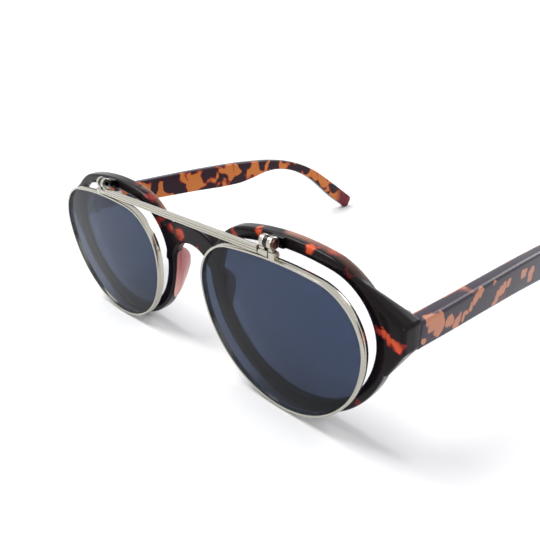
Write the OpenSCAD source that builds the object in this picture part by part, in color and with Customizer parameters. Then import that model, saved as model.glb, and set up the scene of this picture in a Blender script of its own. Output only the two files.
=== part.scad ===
// Flip-up sunglasses: a tortoise plastic front with clear lenses and two temples,
// and a metal front with tinted lenses that swings up on two small barrel hinges.
// +X is the wearer's left, +Y runs back towards the ears, +Z is up.
// The glasses stand open on the bottoms of the rims and on the temple tips.

/* [Lens outline] */
// Distance between the centres of the two lens openings
eye_spacing = 72.8; // [70:0.2:78]
// Half of the width of one lens opening
eye_half_width = 24.6; // [23:0.1:25.6]
// Height of the opening above its centre
eye_top = 17.4; // [17:0.1:19]
// Depth of the opening below its centre
eye_low = 20.8; // [19:0.1:24]
// Height above the centre at which both lenses are widest
widest_height = 2.4; // [1.6:0.1:2.7]
// Radius of the two upper corners of the opening
corner_radius = 14; // [12.5:0.1:14.3]

/* [Plastic front] */
// Thickness of the plastic front from face to back
front_depth = 3.6; // [3.4:0.1:4.4]
// Width of the plastic rim round each opening
rim_width = 3.3; // [2.9:0.1:4]
// Rounding of the edges of the plastic front
edge_round = 1; // [0.5:0.1:1.3]
// Forward lean of the front as the glasses stand
front_lean = 5.4; // [3:0.1:8]
// Radius of the arch over the nose
arch_radius = 9.6; // [9:0.1:10]
// Height of the top edge of the bridge above the centre of the lenses
bridge_top = 14.4; // [13.4:0.1:14.8]
// Radius of the shallow curve along the top edge of the bridge
bridge_radius = 21; // [20:0.5:22]
// Height of the arch's centre above the centre of the lenses
arch_height = -1.2; // [-2:0.1:0]
// Height of the end piece that carries the temple hinge
end_height = 8.4; // [7.8:0.1:9]
// Lens groove depth, cut into the plastic rim
groove_depth = 0.6; // [0.4:0.05:0.8]

/* [Clear lenses] */
// Thickness of a clear lens
clear_thickness = 1.4; // [1:0.05:1.5]
// Radius of the dome of a clear lens
clear_dome = 260; // [250:10:400]

/* [Nose pads] */
// Length of a nose pad, from its top to its lower tip
pad_length = 14.2; // [12:0.2:16]
// Distance by which a nose pad stands out behind the plastic rim
pad_reach = 3; // [2.4:0.1:3.6]
// Distance by which a nose pad stands out towards the nose
pad_bulge = 0.9; // [0.7:0.1:1.1]

/* [Temples] */
// Distance between the outer faces of the two temples
front_width = 136; // [134:0.2:142]
// Thickness of a temple at its hinge
temple_thickness = 4; // [3.6:0.1:4.5]
// Straight length of a temple, from the front to the ear bend
temple_straight = 83; // [78:1:88]
// Radius of the bend over the ear
ear_radius = 70; // [60:1:80]
// Angle of the tip below the horizontal
tip_angle = 33; // [30:1:36]
// Straight length of the tip behind the ear bend
tip_length = 25.5; // [22:0.5:28]
// Width of the tip near its rounded end
tip_height = 5.8; // [5:0.1:6.4]
// Downward slope of the straight length
temple_slope = 0.8; // [0:0.1:2]

/* [Temple hinges] */
// Radius of the hinge knuckles
knuckle_radius = 1.2; // [1.1:0.05:1.3]
// Height of the whole stack of knuckles
knuckle_stack = 5.8; // [5:0.1:6]
// Radius of the hinge screw
screw_radius = 0.65; // [0.5:0.05:0.7]
// Thickness of the hinge leaves
leaf_thickness = 0.8; // [0.6:0.05:0.9]
// Length of the leaf on the temple
leaf_length = 8.5; // [7:0.5:12]

/* [Flip-up front] */
// Radial width of the metal eye wire
wire_width = 1.1; // [1:0.05:1.3]
// Depth of the metal eye wire from front to back
wire_depth = 2; // [1.9:0.05:2.2]
// Half of the width of a tinted lens inside its eye wire
tint_half_width = 24.8; // [24:0.1:25.2]
// Height of the tinted lens above the centre of the clear one
tint_top = 15.7; // [15.5:0.1:16]
// Depth of the tinted lens below the centre of the clear one
tint_low = 22; // [20.5:0.1:23]
// Radius of the two upper corners of the tinted lens
tint_corner = 12.5; // [11.5:0.1:12.8]
// Distance from the front face of the eye wire to the plastic front
flip_forward = 4.6; // [4.5:0.1:5.2]
// Distance by which each tinted lens lies nearer to the nose than the clear one
flip_nasal_shift = 0.7; // [0:0.1:1.2]
// Thickness of a tinted lens
tint_thickness = 0.9; // [0.8:0.05:1]
// Radius of the dome of a tinted lens
tint_dome = 400; // [350:10:500]
// Height of the brow bar's band
bar_height = 1.9; // [1.6:0.1:2]
// Thickness of the brow bar's band
bar_thickness = 1; // [0.8:0.1:1.2]

/* [Flip-up hinges] */
// Distance from the middle of the glasses to the middle of each hinge barrel
hinge_spread = 35; // [34.6:0.1:35.2]
// Radius of the hinge barrels
barrel_radius = 1.5; // [1.4:0.05:1.6]
// Width of the whole hinge barrel
barrel_width = 3.6; // [3.4:0.1:4]
// Width of the fixed knuckle in the middle of the barrel
fixed_knuckle = 1.1; // [1:0.1:1.3]
// Width of the closing block under the barrel
base_width = 5.2; // [5:0.1:5.6]
// Radius of the hinge pin
pin_radius = 0.55; // [0.45:0.05:0.65]
// Distance from the barrel's axis to the plastic front
barrel_forward = 3.2; // [3.1:0.1:3.5]
// Radius of the screw that closes the eye wire
lock_radius = 0.45; // [0.35:0.05:0.5]

/* [Clearances] */
// Radial clearance of a screw or spigot in its seat
seat_gap = 0.03; // [0.02:0.01:0.05]
// Radial clearance of a pivot in its turning knuckle
pivot_gap = 0.05; // [0.03:0.01:0.08]
// Gap between knuckles that turn past each other
knuckle_gap = 0.05; // [0.03:0.01:0.1]
// Gap between the end of a temple and the end piece
temple_gap = 0.12; // [0.05:0.01:0.2]

/* [Hidden] */
$fn = 64;
sliver = 0.01;

// Lens outline: a flat top arc, two corner arcs and a round bottom arc, each tangent to the next
function tangent_radius(corner_x, corner, reach) =
  (corner_x ^ 2 + reach ^ 2 - corner ^ 2) / (2 * (reach - corner));
// Each arc is its centre's x and z, its radius, its first and last angle and its number of steps
function lens_arcs(half_width, top, low, corner) =
  let (
    corner_x = half_width - corner,
    top_radius = tangent_radius(corner_x, corner, top - widest_height),
    low_radius = tangent_radius(corner_x, corner, low + widest_height),
    top_centre = top - top_radius,
    low_centre = low_radius - low,
    top_angle = atan2(widest_height - top_centre, corner_x),
    low_angle = atan2(widest_height - low_centre, corner_x)
  )
    [
      [corner_x, widest_height, corner, low_angle, top_angle, 13],
      [0, top_centre, top_radius, top_angle, 180 - top_angle, 6],
      [-corner_x, widest_height, corner, 180 - top_angle, 180 - low_angle, 13],
      [0, low_centre, low_radius, 180 - low_angle, 360 + low_angle, 26]
    ];
function outline(arcs, grow) = [
  for (arc = arcs)
    for (i = [0 : arc[5] - 1])
      let (turn = arc[3] + (arc[4] - arc[3]) * i / arc[5])
        [arc[0] + (arc[2] + grow) * cos(turn), arc[1] + (arc[2] + grow) * sin(turn)]
];
EYE = lens_arcs(eye_half_width, eye_top, eye_low, corner_radius);
TINT = lens_arcs(tint_half_width, tint_top, tint_low, tint_corner);

// The front surface of a dome lies this far behind its apex, and its back surface one thickness deeper
function dome_rise(dome, reach) = dome - sqrt(dome ^ 2 - reach ^ 2);
// Each lens stands midway in the depth of its rim, and its groove follows its curve
function middle_apex(depth, dome, thickness, half_width, top) =
  (depth - thickness - dome_rise(dome, half_width) - dome_rise(dome, top)) / 2;
clear_apex = middle_apex(front_depth, clear_dome, clear_thickness, eye_half_width, eye_top);
tint_apex = middle_apex(wire_depth, tint_dome, tint_thickness, tint_half_width, tint_top);
tint_groove_depth = wire_width * 0.4;
clear_edge_round = 0.5;
wire_edge_round = 0.12;

bridge_band = bridge_top - arch_height - arch_radius;

// Standing height: the leaned front touches down on the bottom of its rims
rim_bottom = eye_low + rim_width;
eye_height = rim_bottom * cos(front_lean) + edge_round * (1 - cos(front_lean)) - edge_round * sin(front_lean);

// Temple hinge: its axis stands upright just inside and behind the end piece
joint_plane = 4.8;
outer_face = front_width / 2;
inner_face = outer_face - temple_thickness;
pivot_x = inner_face - knuckle_radius - knuckle_gap;
pivot_y = joint_plane + 2.3;
middle_knuckle = knuckle_stack / 3;
screw_head_radius = screw_radius + 0.45;
screw_head_height = 0.6;
leaf_plate_width = 4;
end_inner = eye_spacing / 2 + eye_half_width + 0.4;
end_round = 1.2;
// Long enough to cut right through a piece
through = 60;

// Temple: a straight length, an ear bend and a straight tip that touches down at its rounded end
tip_radius = tip_height / 2;
bend_turn = tip_angle - temple_slope;
bend_length = ear_radius * bend_turn * PI / 180;
temple_start = joint_plane + temple_gap;
path_length = temple_straight + bend_length + tip_length;
function path_angle(s) =
  temple_slope + bend_turn * min(1, max(0, (s - temple_straight) / bend_length));
function path_y(s) =
  min(s, temple_straight) * cos(temple_slope)
  + ear_radius * (sin(path_angle(s)) - sin(temple_slope))
  + max(0, s - temple_straight - bend_length) * cos(tip_angle);
function path_drop(s) =
  min(s, temple_straight) * sin(temple_slope)
  + ear_radius * (cos(temple_slope) - cos(path_angle(s)))
  + max(0, s - temple_straight - bend_length) * sin(tip_angle);
temple_height = path_drop(path_length) + tip_radius;
end_middle = temple_height - eye_height;
// Stations of the temple's section: place along the path, height above and below it, and thickness
bend_start = temple_straight;
STATIONS = [
  [0, end_height / 2 - 0.2, end_height / 2 - 0.2, temple_thickness],
  [12, 4.1, 4.1, temple_thickness],
  [30, 4.5, 4.5, temple_thickness - 0.3],
  [45, 4.5, 5, temple_thickness - 0.4],
  [bend_start - 24, 4.3, 5.3, temple_thickness - 0.5],
  [bend_start - 14, 4.1, 5, temple_thickness - 0.6],
  [bend_start - 6, 3.7, 3.9, temple_thickness - 0.7],
  [bend_start, 3.2, 2.7, temple_thickness - 0.9],
  [bend_start + 7, 2.6, 2, temple_thickness - 1],
  [bend_start + 16, 2.2, 1.9, temple_thickness - 1],
  [bend_start + 28, 2.3, 2.1, temple_thickness - 0.8],
  [bend_start + bend_length, tip_radius - 0.2, tip_radius - 0.2, temple_thickness - 0.5],
  [path_length - 12, tip_radius, tip_radius, temple_thickness - 0.4],
  [path_length, tip_radius, tip_radius, temple_thickness - 0.5]
];
function station(s, column) = lookup(s, [for (row = STATIONS) [row[0], row[column]]]);

// Flip-up front, in the leaned plane of the plastic front
flip_x = eye_spacing / 2 - flip_nasal_shift;
wire_top = tint_top + wire_width;
lock_block = 1.6;
bracket_arm = 1.3;
barrel_height = wire_top + lock_block + knuckle_gap + barrel_radius;
bar_bottom = wire_top + 0.15;
bar_line = 0.15;
barrel_inner = hinge_spread - barrel_width / 2;
barrel_outer = hinge_spread + barrel_width / 2;
base_inner = hinge_spread - base_width / 2;
base_outer = hinge_spread + base_width / 2;
fixed_inner = hinge_spread - fixed_knuckle / 2;
fixed_outer = hinge_spread + fixed_knuckle / 2;
wire_split = 0.3;
split_x = fixed_outer + 0.15;
lock_height = wire_top + lock_block / 2;
wire_back = flip_forward - wire_depth;
lock_y = -(flip_forward + wire_back) / 2;
bracket_plate = 0.7;
spigot_radius = 0.8;
spigot_length = 2.3;
spigot_height = eye_top + rim_width / 2;

// The origin lies under the middle of the object, so everything moves forward by half of its depth
front_most = -barrel_forward * cos(front_lean) - barrel_height * sin(front_lean) - barrel_radius;
back_most = temple_start + path_y(path_length) + tip_radius;
middle_y = (front_most + back_most) / 2;

tortoise = [0.17, 0.08, 0.06];
clear_glass = [0.85, 0.87, 0.92, 0.3];
smoke_glass = [0.25, 0.3, 0.42, 0.75];
silver = [0.68, 0.67, 0.62];
pad_pink = [0.62, 0.38, 0.36];

module stand() translate([0, -middle_y, 0]) children();

module leaned() stand() translate([0, 0, eye_height]) rotate([front_lean, 0, 0]) children();

module right_side() mirror([1, 0, 0]) children();

// A box with rounded corners, as points that run outwards from the outline and back from the face
function rounded_box(width, height, outer_round, inner_round) = [
  for (corner = [[1, 1, 0], [0, 1, 90], [0, 0, 180], [1, 0, 270]], i = [0 : 2])
    let (turn = corner[2] + 45 * i, radius = corner[0] > 0 ? outer_round : inner_round)
      [
        (corner[0] > 0 ? width - radius : radius) + radius * cos(turn),
        (corner[1] > 0 ? height - radius : radius) + radius * sin(turn)
      ]
];

// The same box with a lens groove in its inner side; a third value marks the points that follow the dome
function grooved_box(box, deep, apex, thickness) = [
  for (i = [0 : 5]) [box[i][0], box[i][1], 0],
  [0, apex + thickness + seat_gap, 1],
  [deep, apex + thickness + seat_gap, 1],
  [deep, apex - seat_gap, 1],
  [0, apex - seat_gap, 1],
  for (i = [6 : 11]) [box[i][0], box[i][1], 0]
];

// A closed ring with the given section all round the outline of the lens opening
module lens_ring(arcs, section, dome) {
  loops = [for (p = section) outline(arcs, p[0])];
  count = len(loops[0]);
  around = len(section);
  polyhedron(
    points = [
      for (i = [0 : count - 1], j = [0 : around - 1])
        let (x = loops[j][i][0], z = loops[j][i][1])
          [x, section[j][1] + section[j][2] * dome_rise(dome, norm([x, z])), z]
    ],
    faces = [
      for (i = [0 : count - 1], j = [0 : around - 1])
        let (here = i * around, there = ((i + 1) % count) * around, next_j = (j + 1) % around)
          each [[here + j, there + next_j, here + next_j], [here + j, there + j, there + next_j]]
    ],
    convexity = 6
  );
}

module lens_prism(arcs, grow, front, back)
  translate([0, back, 0])
    rotate([90, 0, 0])
      linear_extrude(back - front)
        polygon(outline(arcs, grow));

// Both openings, grown to the middle of the plastic rim
module both_openings(grow, front, back)
  for (side = [-1, 1])
    translate([side * eye_spacing / 2, 0, 0]) lens_prism(EYE, grow, front, back);

module domed_lens(arcs, grow, apex, dome, thickness)
  intersection() {
    lens_prism(arcs, grow, apex - 1, apex + 3 * dome_rise(dome, eye_half_width) + thickness);
    difference() {
      translate([0, apex + dome, 0]) sphere(dome, $fn = 240);
      translate([0, apex + dome, 0]) sphere(dome - thickness, $fn = 240);
    }
  }

// A curved bar with the given section along one arc over the nose
module bridge_arch(height, inner, section, first, steps) {
  around = len(section);
  polyhedron(
    points = [
      for (i = [0 : steps], p = section)
        let (turn = first + (180 - 2 * first) * i / steps)
          [(inner + p[0]) * cos(turn), p[1], height + (inner + p[0]) * sin(turn)]
    ],
    faces = [
      [for (j = [0 : around - 1]) j],
      [for (j = [around - 1 : -1 : 0]) steps * around + j],
      for (i = [0 : steps - 1], j = [0 : around - 1])
        let (here = i * around, there = here + around, next_j = (j + 1) % around)
          [here + j, there + j, there + next_j, here + next_j]
    ],
    convexity = 4
  );
}

module end_ball(x, y, z) translate([x, y, z]) sphere(end_round, $fn = 20);

module end_piece() {
  high = end_middle + end_height / 2 - end_round;
  low = end_middle - end_height / 2 + end_round;
  outside = outer_face - end_round;
  hull() {
    end_ball(end_inner - 2.6, end_round + 0.1, high + 3.4);
    end_ball(end_inner + 0.6, end_round + 0.1, low - 3.4);
    for (z = [low, high]) {
      end_ball(outside - 0.7, end_round + 0.5, z);
      translate([outside, front_depth, z]) rotate([-90, 0, 0]) cylinder(r = end_round, h = 4, $fn = 20);
      translate([end_inner + end_round, front_depth - end_round, z])
        rotate([-90, 0, 0]) cylinder(r = end_round, h = 4 + end_round, $fn = 20);
    }
  }
}

module hinge_pocket(gap)
  translate([pivot_x - 0.8 - gap, joint_plane - leaf_thickness - gap, temple_height - knuckle_stack / 2 - gap])
    cube([leaf_plate_width + 2 * gap, leaf_thickness + 2 * gap, knuckle_stack + 2 * gap]);

module front_frame() color(tortoise)
  difference() {
    leaned() difference() {
      union() {
        for (side = [-1, 1])
          translate([side * eye_spacing / 2, 0, 0])
            lens_ring(
              EYE,
              grooved_box(
                rounded_box(rim_width, front_depth, edge_round, clear_edge_round),
                groove_depth, clear_apex, clear_thickness
              ),
              clear_dome
            );
        difference() {
          union() {
            bridge_arch(
              arch_height, arch_radius,
              rounded_box(rim_width, front_depth, edge_round, edge_round), 10, 20
            );
            bridge_arch(
              bridge_top - bridge_radius, bridge_radius - bridge_band,
              rounded_box(bridge_band, front_depth, edge_round, edge_round), 52, 10
            );
            end_piece();
            right_side() end_piece();
          }
          both_openings(rim_width / 2, -1, front_depth + 6);
        }
      }
      for (side = [-1, 1])
        translate([side * hinge_spread, -1, spigot_height])
          rotate([-90, 0, 0]) cylinder(r = spigot_radius + seat_gap, h = 1 + spigot_length + seat_gap);
    }
    for (side = [0, 1])
      mirror([side, 0, 0]) stand() {
        translate([end_inner - through / 2, joint_plane, 0]) cube(through);
        hinge_pocket(seat_gap);
      }
  }

module clear_lens() color(clear_glass)
  leaned() translate([eye_spacing / 2, 0, 0])
    domed_lens(EYE, groove_depth - seat_gap, clear_apex, clear_dome, clear_thickness);

// Nose pad: stations with their distance from the rim's nasal edge, height, front and back, and radius
pad_high = 4.6;
PAD = [
  [0.2, 0, 1.7, front_depth, 0.65],
  [0.1, 0.28, 1.7, front_depth + pad_reach - 1, 1],
  [0.9, 0.58, 1.9, front_depth + 0.8 * pad_reach - 1, 1],
  [3.2, 1, 1.5, front_depth - 0.6, 0.6]
];
module pad_slice(row)
  for (y = [row[2], row[3]])
    translate([eye_spacing / 2 - eye_half_width - rim_width + row[0], y, pad_high - pad_length * row[1]])
      sphere(row[4] * (pad_bulge + 0.1), $fn = 16);

module nose_pad() color(pad_pink)
  leaned() difference() {
    for (i = [0 : 2])
      hull() {
        pad_slice(PAD[i]);
        pad_slice(PAD[i + 1]);
      }
    both_openings(rim_width + 0.05, -2, front_depth + 0.02);
    translate([0, -2, arch_height])
      rotate([-90, 0, 0]) difference() {
        cylinder(r = arch_radius + rim_width, h = 2.02 + front_depth);
        translate([0, 0, -1]) cylinder(r = arch_radius - 0.1, h = through);
      }
  }

module front_hinge_leaf() color(silver)
  stand() difference() {
    union() {
      hinge_pocket(0);
      for (level = [-1, 1])
        translate([0, 0, temple_height + level * middle_knuckle - middle_knuckle / 2]) {
          translate([pivot_x, pivot_y, level > 0 ? knuckle_gap / 2 : 0])
            cylinder(r = knuckle_radius, h = middle_knuckle - knuckle_gap / 2);
          translate([pivot_x - 0.8, joint_plane - sliver, level > 0 ? knuckle_gap / 2 : 0])
            cube([1.6, pivot_y - joint_plane, middle_knuckle - knuckle_gap / 2]);
        }
    }
    translate([pivot_x, pivot_y, temple_height - knuckle_stack])
      cylinder(r = screw_radius + seat_gap, h = 2 * knuckle_stack);
  }

module temple_hinge_leaf() color(silver)
  stand() difference() {
    union() {
      translate([pivot_x, pivot_y, temple_height - middle_knuckle / 2 + knuckle_gap / 2])
        cylinder(r = knuckle_radius, h = middle_knuckle - knuckle_gap);
      translate([pivot_x, pivot_y, temple_height - middle_knuckle / 2 + knuckle_gap / 2])
        cube([inner_face - pivot_x, 2, middle_knuckle - knuckle_gap]);
      translate([inner_face - leaf_thickness, pivot_y + knuckle_radius + 0.3, temple_height - knuckle_stack / 2 + 0.4])
        cube([leaf_thickness, leaf_length, knuckle_stack - 0.8]);
    }
    translate([pivot_x, pivot_y, temple_height - knuckle_stack])
      cylinder(r = screw_radius + pivot_gap, h = 2 * knuckle_stack);
  }

module temple_hinge_screw() color(silver)
  stand() translate([pivot_x, pivot_y, temple_height - knuckle_stack / 2])
    difference() {
      union() {
        cylinder(r = screw_radius, h = knuckle_stack + sliver);
        translate([0, 0, knuckle_stack]) cylinder(r = screw_head_radius, h = screw_head_height);
      }
      translate([-2, -0.15, knuckle_stack + screw_head_height / 2]) cube([4, 0.3, 1]);
    }

// Rounded section of the temple, as points across its thickness and its height
corner_steps = 3;
function section_ring(half_thick, above, below, shrink) =
  let (r = min(half_thick, above, below) * 0.55)
    [for (quarter = [0 : 3], i = [0 : corner_steps])
      let (
        turn = 90 * (quarter + i / corner_steps),
        side_x = quarter == 0 || quarter == 3 ? 1 : -1,
        side_z = quarter < 2 ? 1 : -1
      )
        [
          shrink * (side_x * (half_thick - r) + r * cos(turn)),
          shrink * (side_z * ((side_z > 0 ? above : below) - r) + r * sin(turn))
        ]];

ring_points = 4 * (corner_steps + 1);
function placed_ring(s, beyond, shrink) =
  let (angle = path_angle(s))
    [for (p = section_ring(station(s, 3) / 2, station(s, 1), station(s, 2), shrink))
      [
        outer_face - temple_thickness / 2 + p[0],
        temple_start + path_y(s) + beyond * cos(angle) + p[1] * sin(angle),
        temple_height - path_drop(s) - beyond * sin(angle) + p[1] * cos(angle)
      ]];

module temple() color(tortoise) {
  body_steps = 44;
  cap_steps = 5;
  rings = [
    for (i = [0 : body_steps]) placed_ring(path_length * i / body_steps, 0, 1),
    for (i = [1 : cap_steps])
      placed_ring(path_length, tip_radius * sin(84 * i / cap_steps), cos(84 * i / cap_steps))
  ];
  last = len(rings) - 1;
  stand() polyhedron(
    points = [for (ring = rings) each ring],
    faces = [
      [for (i = [0 : ring_points - 1]) i],
      [for (i = [ring_points - 1 : -1 : 0]) last * ring_points + i],
      for (k = [0 : last - 1], i = [0 : ring_points - 1])
        let (a = k * ring_points + i, b = k * ring_points + (i + 1) % ring_points)
          [a, a + ring_points, b + ring_points, b]
    ],
    convexity = 4
  );
}

module along_x(radius, from, to)
  translate([from, 0, 0]) rotate([0, 90, 0]) cylinder(r = radius, h = to - from);

module at_barrel() translate([0, -barrel_forward, barrel_height]) children();

module flip_bracket() color(silver)
  leaned() {
    difference() {
      union() {
        at_barrel() along_x(barrel_radius, fixed_inner, fixed_outer);
        translate([fixed_inner, -barrel_forward, spigot_height - bracket_arm / 2])
          cube([fixed_knuckle, barrel_forward, bracket_arm]);
        translate([barrel_inner, -bracket_plate, spigot_height - rim_width / 2 + 0.4])
          cube([barrel_width, bracket_plate, rim_width - 0.8]);
        translate([hinge_spread, -sliver, spigot_height])
          rotate([-90, 0, 0]) cylinder(r = spigot_radius, h = spigot_length + sliver);
      }
      at_barrel() along_x(pin_radius + pivot_gap, fixed_inner - 1, fixed_outer + 1);
    }
  }

// Closing block on top of the eye wire, with a rounded inner end
module base_block(from, to, bottom)
  translate([from, -flip_forward, bottom])
    cube([to - from, wire_depth, wire_top + lock_block - bottom]);

module flip_leaf() color(silver)
  leaned() difference() {
    union() {
      for (span = [[barrel_inner, fixed_inner - knuckle_gap], [fixed_outer + knuckle_gap, barrel_outer]]) {
        at_barrel() along_x(barrel_radius, span[0], span[1]);
        translate([span[0], -flip_forward, wire_top + lock_block / 2])
          cube([span[1] - span[0], flip_forward - wire_back, barrel_height - wire_top - lock_block / 2]);
      }
      base_block(base_inner, barrel_outer, wire_top);
    }
    at_barrel() along_x(pin_radius + seat_gap, barrel_inner - 1, barrel_outer + 1);
    translate([split_x - wire_split / 2, -flip_forward - 1, wire_top - 1])
      cube([barrel_width, wire_depth + 2, 1 + lock_block - sliver]);
    translate([0, lock_y, lock_height]) along_x(lock_radius + seat_gap, fixed_inner, base_outer + 1);
  }

module flip_pin() color(silver)
  leaned() at_barrel() difference() {
    union() {
      along_x(pin_radius, barrel_inner, barrel_outer + sliver);
      along_x(pin_radius + 0.5, barrel_outer, barrel_outer + 0.5);
    }
    translate([barrel_outer + 0.25, -0.15, -2]) cube([1, 0.3, 4]);
  }

module at_flip_eye() translate([flip_x, -flip_forward, 0]) children();

module flip_rim() color(silver)
  leaned() difference() {
    union() {
      at_flip_eye()
        lens_ring(
          TINT,
          grooved_box(
            rounded_box(wire_width, wire_depth, 0.25, wire_edge_round),
            tint_groove_depth, tint_apex, tint_thickness
          ),
          tint_dome
        );
      translate([split_x + wire_split / 2, -flip_forward, wire_top - 0.4])
        cube([base_outer - split_x - wire_split / 2, wire_depth, lock_block + 0.4 - knuckle_gap]);
    }
    translate([split_x - wire_split / 2, -flip_forward - 1, wire_top - 2])
      cube([wire_split, wire_depth + 2, lock_block + 3]);
    translate([0, lock_y, lock_height]) along_x(lock_radius + seat_gap, split_x, base_outer + 1);
  }

module flip_lens() color(smoke_glass)
  leaned() at_flip_eye()
    domed_lens(TINT, tint_groove_depth - seat_gap, tint_apex, tint_dome, tint_thickness);

module rim_lock_screw() color(silver)
  leaned() translate([0, lock_y, lock_height]) difference() {
    union() {
      along_x(lock_radius, fixed_inner + 0.2, base_outer + sliver);
      along_x(lock_radius + 0.2, base_outer, base_outer + 0.3);
    }
    translate([base_outer + 0.15, -0.1, -1]) cube([1, 0.2, 2]);
  }

module brow_bar() color(silver)
  leaned() translate([-base_inner, -flip_forward, bar_bottom])
    rotate([90, 0, 90]) linear_extrude(2 * base_inner)
      difference() {
        polygon(rounded_box(bar_thickness, bar_height, 0.25, 0.25));
        for (part = [1, 2])
          translate([-bar_line, part * bar_height / 3 - bar_line / 2]) square([2 * bar_line, bar_line]);
      }

front_frame();
clear_lens();  // clear_lens_left
right_side() clear_lens();  // clear_lens_right
nose_pad();  // nose_pad_left
right_side() nose_pad();  // nose_pad_right
front_hinge_leaf();  // front_hinge_leaf_left
right_side() front_hinge_leaf();  // front_hinge_leaf_right
temple_hinge_leaf();  // temple_hinge_leaf_left
right_side() temple_hinge_leaf();  // temple_hinge_leaf_right
temple_hinge_screw();  // temple_hinge_screw_left
right_side() temple_hinge_screw();  // temple_hinge_screw_right
temple();  // temple_left
right_side() temple();  // temple_right
flip_bracket();  // flip_bracket_left
right_side() flip_bracket();  // flip_bracket_right
flip_leaf();  // flip_leaf_left
right_side() flip_leaf();  // flip_leaf_right
flip_pin();  // flip_pin_left
right_side() flip_pin();  // flip_pin_right
flip_rim();  // flip_rim_left
right_side() flip_rim();  // flip_rim_right
flip_lens();  // flip_lens_left
right_side() flip_lens();  // flip_lens_right
rim_lock_screw();  // rim_lock_screw_left
right_side() rim_lock_screw();  // rim_lock_screw_right
brow_bar();
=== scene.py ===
import math

import bmesh
import bpy
import numpy as np
from mathutils import Matrix, Vector


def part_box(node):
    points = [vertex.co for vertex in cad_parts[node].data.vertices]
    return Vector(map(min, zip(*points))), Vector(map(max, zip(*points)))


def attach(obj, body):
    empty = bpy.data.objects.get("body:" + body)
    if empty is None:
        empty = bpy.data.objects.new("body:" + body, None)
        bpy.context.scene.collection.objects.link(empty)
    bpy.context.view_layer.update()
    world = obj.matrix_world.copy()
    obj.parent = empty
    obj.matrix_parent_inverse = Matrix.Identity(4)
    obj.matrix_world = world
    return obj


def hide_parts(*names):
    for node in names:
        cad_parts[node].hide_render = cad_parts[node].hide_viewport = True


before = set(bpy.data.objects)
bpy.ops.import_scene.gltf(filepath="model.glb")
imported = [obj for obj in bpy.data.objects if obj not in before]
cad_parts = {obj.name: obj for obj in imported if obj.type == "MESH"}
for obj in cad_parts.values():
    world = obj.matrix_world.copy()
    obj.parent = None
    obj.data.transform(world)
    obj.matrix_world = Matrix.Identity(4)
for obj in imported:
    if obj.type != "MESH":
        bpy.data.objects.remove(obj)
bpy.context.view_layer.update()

scene = bpy.context.scene

# Camera, table and lamps.
# The camera stands where the photograph was taken: in front of the wearer's left hinge and above
# it, about 13 cm away. The table is plain and pale, and the lamps are large and soft.
camera_data = bpy.data.cameras.new("camera")
camera_data.sensor_width = 36.0
camera_data.lens = 39.473
camera_data.clip_start = 0.01
camera = bpy.data.objects.new("camera", camera_data)
scene.collection.objects.link(camera)
scene.camera = camera
camera_place = (0.12134, -0.15932, 0.08619)
azimuth, elevation, roll = (math.radians(v) for v in (46.46, 23.39, -0.68))
back = Vector((math.sin(azimuth) * math.cos(elevation), -math.cos(azimuth) * math.cos(elevation),
               math.sin(elevation)))
level = Vector((math.cos(azimuth), math.sin(azimuth), 0))
raised = back.cross(level)
across = level * math.cos(roll) + raised * math.sin(roll)
upward = raised * math.cos(roll) - level * math.sin(roll)
facing = Matrix((across, upward, back)).transposed().to_4x4()
tip_up = Matrix.Rotation(math.radians(1.46), 4, "X")
camera.matrix_world = Matrix.Translation(camera_place) @ tip_up @ facing


def add_node(tree, kind, settings=None, **sockets):
    """Adds a node; each socket takes a value or another node's output, and _0 is the first input."""
    new = tree.nodes.new("ShaderNode" + kind)
    for key, value in (settings or {}).items():
        setattr(new, key, value)
    for label, value in sockets.items():
        socket = new.inputs[int(label[1:]) if label[0] == "_" else label.replace("_", " ")]
        if isinstance(value, bpy.types.NodeSocket):
            tree.links.new(value, socket)
        else:
            socket.default_value = value
    return new


def object_place(tree):
    """The place of a point on its object, which is also its place in the standing glasses."""
    return add_node(tree, "TexCoord").outputs["Object"]


def ramp(tree, value, first, last, highest=1.0):
    """Goes softly from 0 to the highest value while the given value goes from first to last."""
    return add_node(tree, "MapRange", {"interpolation_type": "SMOOTHSTEP"}, Value=value, From_Min=first,
                    From_Max=last, To_Max=highest).outputs["Result"]


def worked_out(tree, kind, *values):
    """The result of one operation on numbers, by its name."""
    sockets = {f"_{place}": value for place, value in enumerate(values)}
    return add_node(tree, "Math", {"operation": kind}, **sockets).outputs[0]


def spread(tree, value, low, high):
    """Puts a value between 0 and 1 on the line from low to high."""
    return add_node(tree, "MapRange", Value=value, To_Min=low, To_Max=high).outputs["Result"]


def plain_material(name, **values):
    """A new material whose Principled shader takes the given socket values."""
    material = bpy.data.materials.new(name)
    material.use_nodes = True
    shader = material.node_tree.nodes["Principled BSDF"]
    for socket, value in values.items():
        shader.inputs[socket.replace("_", " ")].default_value = value
    return material, material.node_tree, shader


def seen_directly(tree):
    """1 where the camera, a mirror-like surface or a lens sees the spot, and 0 for all other light."""
    rays = add_node(tree, "LightPath").outputs
    total = rays["Is Camera Ray"]
    for ray in ("Is Glossy Ray", "Is Transmission Ray"):
        total = worked_out(tree, "MAXIMUM", total, rays[ray])
    return total


room_white, room_light, room_shade = (0.97, 0.98, 1.0, 1), 1.08, 0.4
world = bpy.data.worlds.new("room")
scene.world = world
world.use_nodes = True
tree = world.node_tree
sky = tree.nodes["Background"]
sky.inputs["Color"].default_value = room_white
tree.links.new(spread(tree, seen_directly(tree), room_shade, room_light), sky.inputs["Strength"])

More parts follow.
